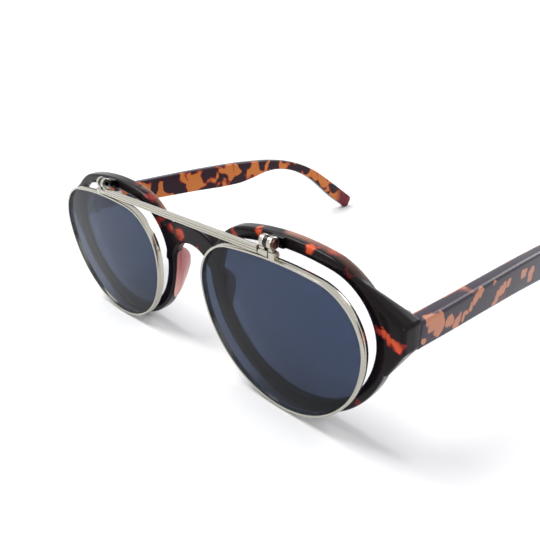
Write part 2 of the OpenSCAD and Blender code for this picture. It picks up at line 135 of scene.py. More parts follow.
# Far from the glasses the table fades into the same plain white as the room
table_reach, fade_start, fade_end = 9, 0.14, 0.5
corners = [(x * table_reach, y * table_reach, 0) for x, y in ((-1, -1), (1, -1), (1, 1), (-1, 1))]
table_mesh = bpy.data.meshes.new("table")
table_mesh.from_pydata(corners, [], [(0, 1, 2, 3)])
table = bpy.data.objects.new("table", table_mesh)
scene.collection.objects.link(table)
table_paint, tree, shader = plain_material("table_paint", Base_Color=(0.86, 0.86, 0.87, 1), Roughness=0.8)
distance = add_node(tree, "VectorMath", {"operation": "LENGTH"}, _0=object_place(tree)).outputs["Value"]
white = add_node(tree, "Emission", Color=room_white, Strength=room_light)
blend = add_node(tree, "MixShader", _0=ramp(tree, distance, fade_start, fade_end), _1=shader.outputs["BSDF"],
                 _2=white.outputs["Emission"])
tree.links.new(blend.outputs["Shader"], tree.nodes["Material Output"].inputs["Surface"])
table_mesh.materials.append(table_paint)

for name, place, aim, size, power in (
    ("key", (-0.35, -0.25, 0.75), (0, -0.05, 0), 0.5, 7.0),
    ("fill", (0.7, -0.55, 0.45), (0, -0.03, 0.02), 0.6, 3.0),
    ("back", (0.15, 0.75, 0.55), (0, 0, 0), 0.5, 4.0),
):
    lamp_data = bpy.data.lights.new(name, "AREA")
    lamp_data.size = size
    lamp_data.energy = power
    lamp = bpy.data.objects.new(name, lamp_data)
    scene.collection.objects.link(lamp)
    lamp.location = place
    lamp.rotation_euler = (Vector(place) - Vector(aim)).to_track_quat("Z", "Y").to_euler()

# Plastic front.
# One piece of polished tortoise acetate: two rims, a bridge with a keyhole arch over the
# nose, and an end piece at each side that carries a temple hinge. Its edges are tumbled round.
MM = 0.001
# It is drawn in its leaned plane, in millimetres from between the eyes: x across, y back, z up
eye_x = 36.4
rim_width, front_depth, rim_round = 3.3, 3.6, 0.75
lean = math.radians(5.4)
outer_face, joint_plane, end_height = 68.0, 4.8, 8.4
# Each arc of the lens outline: centre x and z, radius, first and last angle
EYE_ARCS = (
    (10.6, 2.4, 14.0, -8.089, 79.221),
    (0.0, -53.28, 70.68, 79.221, 100.779),
    (-10.6, 2.4, 14.0, 100.779, 188.089),
    (0.0, 3.9065, 24.7065, 188.089, 351.911),
)
# The rims touch the table with their lowest, rounded edge
edge_round = 1.0
rim_bottom = EYE_ARCS[3][2] - EYE_ARCS[3][1] + rim_width
eye_height = rim_bottom * math.cos(lean) + edge_round * (1 - math.cos(lean) - math.sin(lean))
# The hinge screw of the left temple tells how high the temples start and how far forward the front is
hinge_behind_joint, knuckle_stack = 2.3, 5.8
screw_low, screw_high = (np.array(corner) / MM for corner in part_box("temple_hinge_screw_left"))
temple_height = screw_low[2] + knuckle_stack / 2
middle_y = joint_plane + hinge_behind_joint - (screw_low[1] + screw_high[1]) / 2


def lens_outline(arcs, count=260, fine=240):
    """The lens outline as four tangent arcs: a point is the arc's centre plus its radius times
    (cos a, sin a). Returns the points, evenly spaced along the line, and their outward directions."""
    line, away = [], []
    for x, z, radius, first, last in arcs:
        a = np.radians(np.linspace(first, last, fine, endpoint=False))
        direction = np.stack([np.cos(a), np.sin(a)], -1)
        line.append(np.array([x, z]) + radius * direction)
        away.append(direction)
    line, away = (np.concatenate([*v, v[0][:1]]) for v in (line, away))
    run = np.concatenate([[0], np.cumsum(np.linalg.norm(np.diff(line, axis=0), axis=1))])
    even = np.linspace(0, run[-1], count, endpoint=False)
    line, away = (np.stack([np.interp(even, run, v[:, i]) for i in (0, 1)], -1) for v in (line, away))
    return line, away / np.linalg.norm(away, axis=1, keepdims=True)


def rounded_rectangle(width, height, radius, steps=6):
    """Points of a rectangle from (0, 0) to (width, height) with its corners rounded by arcs."""
    a = np.radians(np.linspace(0, 90, steps + 1))
    corners = []
    for turn, x, y in ((0, width - radius, height - radius), (90, radius, height - radius),
                       (180, radius, radius), (270, width - radius, radius)):
        b = a + math.radians(turn)
        corners.append(np.stack([x + radius * np.cos(b), y + radius * np.sin(b)], -1))
    return np.concatenate(corners)


def ring_grid(profile, points, away):
    """Carries a profile of (outwards, backwards) points round an outline: point plus outwards times away."""
    flat = points[:, None, :] + profile[None, :, :1] * away[:, None, :]
    depth = np.broadcast_to(profile[None, :, 1], flat.shape[:2])
    return np.stack([flat[..., 0], depth, flat[..., 1]], -1)


def add_grid(mesh, grid, rows_close=True, columns_close=True, capped=False):
    """Adds a grid of points (rows by columns) to a bmesh as quads; open rows can get end caps."""
    rows, columns = grid.shape[:2]
    r = np.arange(rows if rows_close else rows - 1)[:, None]
    c = np.arange(columns if columns_close else columns - 1)[None, :]
    here, there, after = r * columns, (r + 1) % rows * columns, (c + 1) % columns
    faces = np.stack([here + c, there + c, there + after, here + after], -1).reshape(-1, 4).tolist()
    if capped:
        faces += [list(range(columns)), list(range((rows - 1) * columns, rows * columns))]
    data = bpy.data.meshes.new("grid")
    data.from_pydata(grid.reshape(-1, 3).tolist(), [], faces)
    mesh.from_mesh(data)
    bpy.data.meshes.remove(data)


def finished(name, mesh, material, body, node, smooth=35.0):
    """Turns a closed bmesh into a piece that rides on a body in the place of a node: merged, facing
    outwards, smooth below the given angle."""
    bmesh.ops.remove_doubles(mesh, verts=mesh.verts, dist=1e-7)
    bmesh.ops.recalc_face_normals(mesh, faces=mesh.faces)
    data = bpy.data.meshes.new(name)
    mesh.to_mesh(data)
    mesh.free()
    data.materials.append(material)
    piece = bpy.data.objects.new(name, data)
    scene.collection.objects.link(piece)
    data.shade_smooth()
    data.set_sharp_from_angle(angle=math.radians(smooth))
    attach(piece, body)
    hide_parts(node)


def standing(points):
    """From the leaned plane of the front, in millimetres, to the standing glasses, in metres:
    y' = y cos(lean) - z sin(lean) - middle, z' = y sin(lean) + z cos(lean) + eye height."""
    p = np.asarray(points, float)
    y = p[..., 1] * math.cos(lean) - p[..., 2] * math.sin(lean) - middle_y
    z = p[..., 1] * math.sin(lean) + p[..., 2] * math.cos(lean) + eye_height
    return np.stack([p[..., 0], y, z], -1) * MM


def stand_up(mesh):
    """Moves a bmesh from the leaned plane to the standing glasses."""
    data = bpy.data.meshes.new("standing")
    mesh.to_mesh(data)
    points = np.empty(len(data.vertices) * 3, np.float32)
    data.vertices.foreach_get("co", points)
    points = standing(points.reshape(-1, 3)).astype(np.float32)
    data.vertices.foreach_set("co", points.ravel())
    mesh.clear()
    mesh.from_mesh(data)
    bpy.data.meshes.remove(data)


def as_object(mesh):
    """Puts a bmesh of closed shapes into the scene for the modifiers below."""
    data = bpy.data.meshes.new("raw")
    bmesh.ops.recalc_face_normals(mesh, faces=mesh.faces)
    mesh.to_mesh(data)
    mesh.free()
    holder = bpy.data.objects.new("raw", data)
    scene.collection.objects.link(holder)
    return holder


def after_modifiers(mesh, *helpers, **modifiers):
    """Runs the named modifiers over a bmesh, removes the helper objects and returns the result."""
    holder = as_object(mesh)
    for kind, values in modifiers.items():
        modifier = holder.modifiers.new(kind, kind)
        for key, value in values.items():
            setattr(modifier, key, value)
    result = bmesh.new()
    result.from_object(holder, bpy.context.evaluated_depsgraph_get())
    for used in (holder, *helpers):
        data = used.data
        bpy.data.objects.remove(used)
        bpy.data.meshes.remove(data)
    return result


def melted(mesh, voxel, rounds):
    """Melts overlapping closed shapes, in millimetres, into one skin and softens it, as tumbling does."""
    return after_modifiers(mesh, REMESH={"mode": "VOXEL", "voxel_size": voxel},
                           SMOOTH={"factor": 0.5, "iterations": rounds})


def mixed(tree, share, first, second):
    """The first colour, going over to the second one as the share goes from 0 to 1."""
    return add_node(tree, "Mix", {"data_type": "RGBA"}, Factor=share, A=first, B=second).outputs["Result"]


def new_group(name, result, kind, **given):
    """An empty node group with one result; each input is a number, a place or a colour."""
    tree = bpy.data.node_groups.new(name, "ShaderNodeTree")
    for label, value in given.items():
        size = len(value) if isinstance(value, tuple) else 1
        socket = tree.interface.new_socket(label.replace("_", " "), in_out="INPUT", socket_type={
            1: "NodeSocketFloat", 3: "NodeSocketVector", 4: "NodeSocketColor"}[size])
        socket.default_value = value
    tree.interface.new_socket(result, in_out="OUTPUT", socket_type="NodeSocket" + kind)
    return tree, tree.nodes.new("NodeGroupInput").outputs, tree.nodes.new("NodeGroupOutput").inputs


def tortoise_group():
    """Tortoiseshell: cloudy noise gives the dark blotches, and a narrow band of it their red edges."""
    tree, given, out = new_group("tortoiseshell", "Color", "Color", Size=110.0, Dark_share=0.5,
                                 Amber=(0.5, 0.17, 0.05, 1), Edge=(0.25, 0.02, 0.01, 1),
                                 Dark=(0.012, 0.006, 0.006, 1), More_clear=0.0, Soft=0.1)
    noise = add_node(tree, "TexNoise", Vector=object_place(tree), Scale=given["Size"], Detail=1.6,
                     Roughness=0.45, Distortion=0.5)
    over = worked_out(tree, "SUBTRACT", noise.outputs["Fac"], given["Dark share"])
    over = worked_out(tree, "ADD", over, given["More clear"])
    edge = ramp(tree, over, worked_out(tree, "MULTIPLY", given["Soft"], -0.45), 0.03)
    colour = mixed(tree, edge, given["Dark"], given["Edge"])
    colour = mixed(tree, ramp(tree, over, 0.0, given["Soft"]), colour, given["Amber"])
    tree.links.new(colour, out["Color"])
    return tree


def fine_marks_group():
    """Faint polishing marks: fine noise as a bump, with the noise itself as the result besides."""
    tree, given, out = new_group("fine_marks", "Normal", "Vector", Scale=1000.0, Strength=0.1)
    tree.interface.new_socket("Value", in_out="OUTPUT", socket_type="NodeSocketFloat")
    noise = add_node(tree, "TexNoise", Vector=object_place(tree), Scale=given["Scale"], Detail=4.0)
    bump = add_node(tree, "Bump", Strength=given["Strength"], Distance=0.00004, Height=noise.outputs["Fac"])
    tree.links.new(bump.outputs["Normal"], out["Normal"])
    tree.links.new(noise.outputs["Fac"], out["Value"])
    return tree


def spot_group():
    """The larger of the value so far and a spot: its height at the centre, 0 beyond its radius."""
    tree, given, out = new_group("spot", "Value", "Float", So_far=0.0, Place=(0.0, 0.0, 0.0),
                                 Centre=(0.0, 0.0, 0.0), Radius=0.002, Height=0.2)
    reach = add_node(tree, "VectorMath", {"operation": "DISTANCE"}, _0=given["Place"], _1=given["Centre"])
    core = worked_out(tree, "MULTIPLY", given["Radius"], 0.35)
    share = ramp(tree, reach.outputs["Value"], given["Radius"], core, given["Height"])
    tree.links.new(worked_out(tree, "MAXIMUM", given["So far"], share), out["Value"])
    return tree


tortoiseshell, marks_group, spot = tortoise_group(), fine_marks_group(), spot_group()


def fine_marks(tree, shader, scale, strength):
    """Gives a shader the polishing marks and returns their noise for other uses."""
    marks = add_node(tree, "Group", {"node_tree": marks_group}, Scale=scale, Strength=strength)
    tree.links.new(marks.outputs["Normal"], shader.inputs["Normal"])
    return marks.outputs["Value"]


def spots_mask(tree, spots, place):
    """One mask of all the given spots: x, y, z, radius and height, in metres."""
    mask = 0.0
    for x, y, z, radius, height in spots:
        mask = add_node(tree, "Group", {"node_tree": spot}, So_far=mask, Place=place, Centre=(x, y, z),
                        Radius=radius, Height=height).outputs["Value"]
    return mask


def tortoise_material(name, spots, painted_sheen_spots=(), mirrored=False, **values):
    """Glossy acetate with the tortoiseshell pattern, its chosen spots and faint polishing marks.
    Noise bends the coordinates of the spots, so they are uneven; mirrored spots repeat on all sides.
    Sheen spots paint a pale tan sheen over the pattern, standing in for light on the top faces."""
    material, tree, shader = plain_material(name, Roughness=0.15, IOR=1.49, Specular_IOR_Level=0.13)
    painted_sheen_tan, bend = (0.42, 0.20, 0.15, 1), 0.005
    place = object_place(tree)
    noise = add_node(tree, "TexNoise", Vector=place, Scale=260.0)
    shift = add_node(tree, "VectorMath", {"operation": "MULTIPLY_ADD"}, _0=noise.outputs["Color"],
                     _1=(bend,) * 3, _2=(-bend / 2,) * 3)
    bent = add_node(tree, "VectorMath", _0=place, _1=shift.outputs["Vector"]).outputs["Vector"]
    if mirrored:
        bent = add_node(tree, "VectorMath", {"operation": "ABSOLUTE"}, _0=bent).outputs["Vector"]
    pattern = add_node(tree, "Group", {"node_tree": tortoiseshell}, **values,
                       More_clear=spots_mask(tree, spots, bent))
    # Painted sheen: pale tan laid over the pattern where the sheen spots lie
    shown = mixed(tree, spots_mask(tree, painted_sheen_spots, place), pattern.outputs["Color"], painted_sheen_tan)
    tree.links.new(shown, shader.inputs["Base Color"])
    fine_marks(tree, shader, scale=2500.0, strength=0.05)
    return material


# Red spots of the front, in its leaned plane: x, y, z, radius and strength. The last three, large and on the
# upper back edges of the rims, are painted sheen on the top faces.
FRONT_SPOTS_AND_SHEEN = (
    (19.6, 1.0, 16.9, 2.4, 0.50), (28.4, 0.6, 19.6, 1.9, 0.50), (29.3, 0.6, 18.6, 2.0, 0.50),
    (43.9, 0.2, 19.8, 1.9, 0.56), (53.5, 1.0, 17.0, 2.4, 0.36), (61.4, 0.0, 6.6, 1.6, 0.52),
    (62.8, 0.0, 6.1, 1.7, 0.54), (64.4, 0.0, 5.5, 1.8, 0.56), (66.1, 0.2, 5.0, 2.2, 0.60),
    (62.1, 0.0, 7.6, 1.3, 0.46), (56.4, 0.0, -14.2, 2.2, 0.44), (-13.0, 1.0, 11.4, 3.4, 0.46),
    (-8.4, 0.5, 10.8, 3.0, 0.34), (-3.9, 0.0, 10.2, 2.6, 0.36), (3.2, 0.0, 8.2, 2.4, 0.38),
    (48.4, 3.9, 18.6, 4.6, 0.36), (-18.0, 3.8, 17.2, 5.0, 0.42), (-27.0, 3.8, 20.5, 5.0, 0.34),
)
# Painted sheen along the upper edges of the rims: rows of spots that sink sideways, the left one fading
PAINTED_SHEEN_SPOTS = [
    (36.6 + 1.4 * k, 3.8, 21.0 - 0.022 * k * k - 0.03 * k, 3.4, 0.85 - 0.056 * k) for k in range(14)
] + [
    (-22.4 + 1.5 * k, 3.8, 18.4 - 0.56 * k - 0.03 * k * k, 2.8, 0.6) for k in range(7)
]


def standing_spots(spots):
    """Spots of the leaned plane, in millimetres, as spots of the standing glasses, in metres."""
    flat = np.array(spots)
    return np.concatenate([standing(flat[:, :3]), flat[:, 3:] * np.array([MM, 1])], -1).tolist()


front_acetate = tortoise_material("front_acetate", standing_spots(FRONT_SPOTS_AND_SHEEN), standing_spots(PAINTED_SHEEN_SPOTS),
                                  Dark_share=0.80, Soft=0.3, Amber=(0.62, 0.085, 0.028, 1),
                                  Edge=(0.16, 0.010, 0.010, 1), Dark=(0.006, 0.0035, 0.0045, 1))


def ball(x, y, z, radius, rings=9):
    """Points on a small ball: rings of latitude."""
    a, b = np.meshgrid(np.linspace(0, 2 * np.pi, 18, endpoint=False), np.radians(np.linspace(-86, 86, rings)))
    flat = np.stack([np.cos(b) * np.cos(a), np.cos(b) * np.sin(a), np.sin(b)], -1)
    return flat.reshape(-1, 3) * radius + np.array([x, y, z])


def add_hull(mesh, points):
    """Adds the convex hull of some points."""
    corners = [mesh.verts.new(p) for p in points.tolist()]
    bmesh.ops.convex_hull(mesh, input=corners)
    bmesh.ops.delete(mesh, geom=[v for v in corners if not v.link_faces], context="VERTS")


def prism(points, front, back, x):
    """A closed prism of an outline, from front to back, as an object to cut with."""
    mesh = bmesh.new()
    rows = [np.stack([points[:, 0] + x, np.full(len(points), y), points[:, 1]], -1) for y in (front, back)]
    add_grid(mesh, np.stack(rows), rows_close=False, capped=True)
    return as_object(mesh)


shape = bmesh.new()
line, away = lens_outline(EYE_ARCS)
section = rounded_rectangle(rim_width, front_depth, rim_round)
ring = ring_grid(section, line, away)
# The outer half of the band moves in over the upper outer corner and a little below the end piece:
# by how much, at which angle and over how wide a stretch
slimmings = ((0.9, 50, 30), (0.5, -40, 25))
angle = np.degrees(np.arctan2(away[:, 1], away[:, 0]))
slim = sum(most * np.exp(-((angle - centre) / reach) ** 2) for most, centre, reach in slimmings)[:, None]
outer_half = np.clip(section[None, :, 0] / rim_width * 2 - 1, 0, 1)
ring[..., 0] -= slim * outer_half * away[:, :1]
ring[..., 2] -= slim * outer_half * away[:, 1:]
for side in (-1, 1):
    add_grid(shape, ring * np.array([side, 1, 1]) + np.array([side * eye_x, 0, 0]))
# The keyhole arch and the bridge over it: centre height, inner radius, height of the band, first angle
for centre_z, inner, height, first in ((-1.2, 9.6, rim_width, 10), (-6.6, 15.0, 6.0, 52)):
    a = np.radians(np.linspace(first, 180 - first, 60))
    direction = np.stack([np.cos(a), np.sin(a)], -1)
    band = rounded_rectangle(height, front_depth, rim_round)
    add_grid(shape, ring_grid(band, direction * inner + np.array([0, centre_z]), direction),
             rows_close=False, capped=True)
end_inner, end_round, end_lift, end_tuck = eye_x + 25.0, 1.0, 1.3, 0.25
root_x, root_low, opening_margin = eye_x + 26.6, -3.0, 1.4
root_z = temple_height - eye_height
end_low, end_high = root_z - end_height / 2 + end_round + end_lift, root_z + end_height / 2 - end_round
corner_x, corner_z, corner_radius = EYE_ARCS[0][:3]
shoulder, shoulder_reach = math.radians(59), corner_radius + opening_margin


def end_piece(side):
    """The convex hull of balls at the rim's shoulder and root and of rods along the end plate, less
    the opening of the lens. A rod is one circle of points in x and z at its front and at its back."""
    cloud = [ball(eye_x + corner_x + shoulder_reach * math.cos(shoulder), end_round,
                  corner_z + shoulder_reach * math.sin(shoulder), end_round),
             ball(root_x, end_round, root_low, end_round)]
    a = np.radians(np.linspace(0, 360, 24, endpoint=False))
    circle = end_round * np.stack([np.cos(a), np.zeros(24), np.sin(a)], -1)
    for z in (end_low, end_high):
        cloud.append(ball(outer_face - end_round - end_tuck, end_round + end_tuck, z, end_round))
        for x in (end_inner + end_round, outer_face - end_round):
            for y in (front_depth, joint_plane + z * math.tan(lean)):
                cloud.append(circle + np.array([x, y, z]))
    end = bmesh.new()
    add_hull(end, np.concatenate(cloud) * np.array([side, 1, 1]))
    opening = prism(line + opening_margin * away, -front_depth, 3 * front_depth, side * eye_x)
    return after_modifiers(end, opening,
                           BOOLEAN={"object": opening, "operation": "DIFFERENCE", "solver": "EXACT"})


for side in (-1, 1):
    end = end_piece(side)
    data = bpy.data.meshes.new("end")
    end.to_mesh(data)
    end.free()
    shape.from_mesh(data)
    bpy.data.meshes.remove(data)
shape = melted(shape, voxel=0.24, rounds=4)
stand_up(shape)
finished("acetate_front", shape, front_acetate, "spectacle_frame", "front_frame", smooth=60)

# Lenses.
# Clear lenses snap into the grooves of the rims, and tinted ones into the eye wires. Each is
# a shallow dome of even thickness, edged to the outline of its rim.
TINT_ARCS = (
    (12.3, 2.4, 12.5, -1.894, 82.557),
    (0.0, -91.756, 107.456, 82.557, 97.443),
    (-12.3, 2.4, 12.5, 97.443, 181.894),
    (0.0, 2.8067, 24.8067, 181.894, 358.106),
)
# The flip-up front sits a little nearer the nose than the rims, and in front of them
flip_x, flip_y = eye_x - 0.7, -4.6


def domed_lens(arcs, centre, grow, apex, dome, thickness, steps=15):
    """Rows run from the middle of the front face over the edge to the middle of the back face:
    a point is the outline times a share s, at depth apex + dome - sqrt(dome^2 - distance^2)."""
    line, away = lens_outline(arcs, 200)
    outwards = np.linspace(0, 1, steps) ** 0.8
    share = np.concatenate([outwards, outwards[::-1]])
    flat = share[:, None, None] * (line + grow * away)[None]
    reach = np.linalg.norm(flat, axis=-1)
    radius = np.repeat([dome, dome - thickness], steps)[:, None]
    depth = apex + dome - np.sqrt(radius ** 2 - reach ** 2)
    mesh = bmesh.new()
    add_grid(mesh, np.stack([flat[..., 0], depth, flat[..., 1]], -1) + np.array(centre), rows_close=False)
    bmesh.ops.remove_doubles(mesh, verts=mesh.verts, dist=1e-5)
    stand_up(mesh)
    return mesh


clear_plastic, tree, shader = plain_material("clear_plastic", Base_Color=(0.96, 0.96, 0.98, 1), Roughness=0.0,
                                             IOR=1.5, Transmission_Weight=1.0)
fine_marks(tree, shader, scale=900.0, strength=0.01)
smoke_plastic, tree, shader = plain_material("smoke_plastic", Base_Color=(0.03, 0.05, 0.1, 1), Roughness=0.0,
                                             IOR=1.2, Specular_IOR_Level=0.5, Transmission_Weight=1.0)
# The dye is a little uneven
marks = fine_marks(tree, shader, scale=900.0, strength=0.002)
dye = mixed(tree, marks, (0.039, 0.056, 0.100, 1), (0.042, 0.060, 0.106, 1))
tree.links.new(dye, shader.inputs["Base Color"])
for side, word in ((1, "left"), (-1, "right")):
    mesh = domed_lens(EYE_ARCS, (side * eye_x, 0, 0), grow=0.57, apex=0.225, dome=260.0, thickness=1.4)
    finished("clear_lens_of_" + word + "_eye", mesh, clear_plastic, "spectacle_frame", "clear_lens_" + word)
    mesh = domed_lens(TINT_ARCS, (side * flip_x, flip_y, 0), grow=0.62, apex=0.011, dome=400.0, thickness=0.9)
    finished("tinted_lens_of_" + word + "_eye", mesh, smoke_plastic, "flip_front", "flip_lens_" + word)

# Temples.
# Each temple is cut from the same tortoise sheet, deep and flat along the head, slim over the
# ear, with a straight round-ended tip. Its front end meets the end piece flat.
temple_thickness, hinge_play = 4.0, 0.12
straight, ear_radius, tip_length, tip_radius = 83.0, 70.0, 25.5, 2.9
slope, tip_slope = math.radians(0.8), math.radians(33)
bend = ear_radius * (tip_slope - slope)
path_length = straight + bend + tip_length
# Stations of a temple: place along its path, height above and below the path, thickness
STATIONS = np.array([
    (0, 4.0, 2.8, 4.0), (12, 4.1, 3.0, 4.0), (30, 4.6, 3.2, 3.7), (45, 5.0, 3.4, 3.6),
    (straight - 24, 5.1, 3.9, 3.5), (straight - 14, 5.0, 3.8, 3.4), (straight - 6, 4.6, 2.5, 3.3),
    (straight, 4.2, 1.1, 3.1), (straight + 7, 3.7, 0.4, 3.0), (straight + 16, 3.4, 0.3, 3.0),
    (straight + 28, 3.1, 1.0, 3.2), (straight + bend, 3.1, 1.9, 3.5),
    (path_length - 12, 3.2, 3.0, 3.6), (path_length, 3.1, 2.9, 3.5)])


def smooth_between(s, column, reach=6):
    """The stations' values joined by a line and then averaged over a reach, so that no corner shows."""
    fine = np.linspace(-10, path_length + 10, 1200)
    values = np.interp(fine, STATIONS[:, 0], STATIONS[:, column])
    width = int(reach / (fine[1] - fine[0])) | 1
    padded = np.pad(values, width // 2, mode="edge")
    return np.interp(s, fine, np.convolve(padded, np.ones(width) / width, mode="valid"))


def temple_grid(side, rows=150, cap_rows=9, corner_share=0.55):
    """A rounded section carried along the path: straight, then an arc of the ear radius, then
    straight again. The first rows round the front edge and the last ones close the tip."""
    cap = np.radians(np.linspace(8, 89.5, cap_rows))
    edge_size, edge_place = (0.90, 0.955, 0.985), (0, 0.06, 0.18)
    s = np.concatenate([np.zeros(3), np.linspace(0.35, path_length, rows), np.full(cap_rows, path_length)])
    shrink = np.concatenate([edge_size, np.ones(rows), np.cos(cap)])
    beyond = np.concatenate([edge_place, np.zeros(rows), tip_radius * np.sin(cap)])
    turn = slope + (tip_slope - slope) * np.clip((s - straight) / bend, 0, 1)
    head, tail = np.minimum(s, straight), np.maximum(0, s - straight - bend)
    y = head * math.cos(slope) + ear_radius * (np.sin(turn) - math.sin(slope)) + tail * math.cos(tip_slope)
    drop = head * math.sin(slope) + ear_radius * (math.cos(slope) - np.cos(turn)) + tail * math.sin(tip_slope)
    half = smooth_between(s, 3)[:, None] / 2
    above, below = smooth_between(s, 1)[:, None], smooth_between(s, 2)[:, None]
    radius = corner_share * half
    a = np.radians(np.concatenate([np.linspace(q * 90, q * 90 + 90, 8) for q in range(4)]))
    quarter = np.repeat(np.arange(4), 8)
    out = np.where((quarter == 0) | (quarter == 3), 1, -1)
    up = np.where(quarter < 2, 1, -1)
    wide = out * (half - radius) + radius * np.cos(a)
    tall = np.where(up > 0, above - radius, radius - below) + radius * np.sin(a)
    wide, tall = wide * shrink[:, None], tall * shrink[:, None]
    angle = turn[:, None]
    start = joint_plane + hinge_play - middle_y
    grid = np.stack([
        side * (outer_face - temple_thickness / 2 + wide),
        start + (y + beyond * np.cos(turn))[:, None] + tall * np.sin(angle),
        temple_height - (drop + beyond * np.sin(turn))[:, None] + tall * np.cos(angle)], -1)
    return grid * MM


# Tan patches on the outside of the temples: y and z as they stand, radius and strength
TEMPLE_SPOTS = (
    (65.0, 28.2, 1.4, 0.42), (63.5, 32.8, 2.0, 0.44), (61.2, 31.4, 3.0, 0.50), (59.4, 29.2, 2.4, 0.46),
    (55.5, 29.0, 2.6, 0.46), (52.0, 28.2, 2.6, 0.46), (49.2, 28.6, 1.7, 0.42), (47.2, 30.0, 1.5, 0.42),
    (45.0, 31.2, 1.8, 0.42), (42.6, 32.0, 1.7, 0.40), (36.0, 32.4, 1.4, 0.38), (34.4, 27.8, 2.0, 0.44),
    (31.8, 29.6, 2.3, 0.46), (28.4, 30.8, 2.3, 0.44), (20.5, 30.2, 2.6, 0.44), (16.5, 28.8, 2.8, 0.44),
    (7.0, 31.0, 2.6, 0.44),
)


def temple_material(spots):
    """The outside of a temple is dark with tan patches; its side towards the head is amber with dark
    blotches, darker over the ear, with a red tip. The distance from the middle tells the sides apart."""
    places = [(outer_face * MM, y * MM, z * MM, radius * MM, height) for y, z, radius, height in spots]
    material = tortoise_material("temple_acetate", places, mirrored=True, Size=120.0, Dark_share=0.66,
                                 Soft=0.12, Amber=(0.46, 0.19, 0.11, 1), Edge=(0.12, 0.05, 0.05, 1),
                                 Dark=(0.040, 0.031, 0.046, 1))
    tree = material.node_tree
    shader = tree.nodes["Principled BSDF"]
    split = add_node(tree, "SeparateXYZ", Vector=object_place(tree)).outputs
    ear_start, ear_end = (0.012, 0.022), (0.048, 0.058)
    tip_start, between_sides = (0.064, 0.070), (0.0646, 0.0652)
    darker = worked_out(tree, "ADD", ramp(tree, split["Y"], *ear_start, -0.10),
                        ramp(tree, split["Y"], *ear_end, 0.12))
    inside = add_node(tree, "Group", {"node_tree": tortoiseshell}, Size=165.0, Dark_share=0.50, Soft=0.05,
                      More_clear=darker, Amber=(0.50, 0.155, 0.036, 1), Edge=(0.32, 0.028, 0.012, 1),
                      Dark=(0.022, 0.008, 0.014, 1))
    tip = ramp(tree, split["Y"], *tip_start, 0.95)
    red = mixed(tree, tip, inside.outputs["Color"], (0.13, 0.010, 0.018, 1))
    side = ramp(tree, worked_out(tree, "ABSOLUTE", split["X"]), *between_sides)
    outer = shader.inputs["Base Color"].links[0].from_socket
    tree.links.new(mixed(tree, side, red, outer), shader.inputs["Base Color"])
    return material


temple_acetate = temple_material(TEMPLE_SPOTS)
for side, word in ((1, "left"), (-1, "right")):
    mesh = bmesh.new()
    add_grid(mesh, temple_grid(side), rows_close=False, capped=True)
    finished("acetate_temple_" + word, mesh, temple_acetate, word + "_temple_arm", "temple_" + word)

# Temple hinges.
# Each temple turns on a small barrel hinge of satin steel: one leaf is let into the back of the end
# piece, the other lies on the temple's inner face, and a screw holds their knuckles together.


def metal(name, color, roughness, grain=4000.0, strength=0.12):
    """Metal with fine grain in its roughness and its surface."""
    material, tree, shader = plain_material(name, Base_Color=(*color, 1), Metallic=1.0, Roughness=roughness)
    marks = fine_marks(tree, shader, grain, strength)
    tree.links.new(spread(tree, marks, roughness * 0.8, roughness * 1.25), shader.inputs["Roughness"])
    return material


def painted(names, material):
    """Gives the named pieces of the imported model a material."""
    for name in names:
        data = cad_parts[name].data
        data.materials.clear()
        data.materials.append(material)


def both(*names):
    """The names of the left and the right piece."""
    return [name + word for name in names for word in ("_left", "_right")]


satin_steel = metal("satin_steel", (0.50, 0.49, 0.46), roughness=0.32, grain=3000.0, strength=0.2)
painted(both("front_hinge_leaf", "temple_hinge_leaf", "temple_hinge_screw"), satin_steel)

# Nose pads.
# Slender drops of see-through pink acetate, glued to the inner sides of the rims beside the keyhole.
# Each is painted paler towards its lower end, as light shows through where it thins.
pad_pink, tree, shader = plain_material("pad_pink", Base_Color=(0.40, 0.14, 0.13, 1), Roughness=0.22,
                                        Subsurface_Weight=0.35, Subsurface_Scale=0.002)
marks = fine_marks(tree, shader, scale=700.0, strength=0.08)
cloud = mixed(tree, marks, (0.30, 0.085, 0.09, 1), (0.42, 0.15, 0.14, 1))
# Painted light: the pink goes paler towards the lower end, for light that shows through the thin acetate
height = add_node(tree, "SeparateXYZ", Vector=object_place(tree)).outputs["Z"]
painted_thin_end_light = mixed(tree, ramp(tree, height, 0.025, 0.012, 0.8), cloud, (0.66, 0.38, 0.35, 1))
tree.links.new(painted_thin_end_light, shader.inputs["Base Color"])
# Stations of a pad: share of its length, distance from the rim's nasal edge, front, back, half thickness
PAD = np.array([(0, 0.3, 2.4, 3.2, 0.2), (0.05, 0.25, 2.0, 4.6, 0.6), (0.14, 0.15, 1.3, 6.2, 0.85),
                (0.26, 0.1, 1.0, 7.3, 1.0), (0.42, 0.5, 0.8, 7.1, 1.0), (0.6, 1.3, 0.6, 5.7, 0.9),
                (0.8, 2.6, 0.5, 4.0, 0.7), (0.93, 3.6, 0.5, 2.8, 0.5), (1.0, 4.1, 0.7, 1.9, 0.2)])
pad_length, pad_high = 17.0, 4.6
nasal_edge = eye_x - EYE_ARCS[0][0] - EYE_ARCS[0][2] - rim_width
# Behind this depth the pad leaves the rim and turns away from the nose
free_depth, shear = 2.4, 0.4


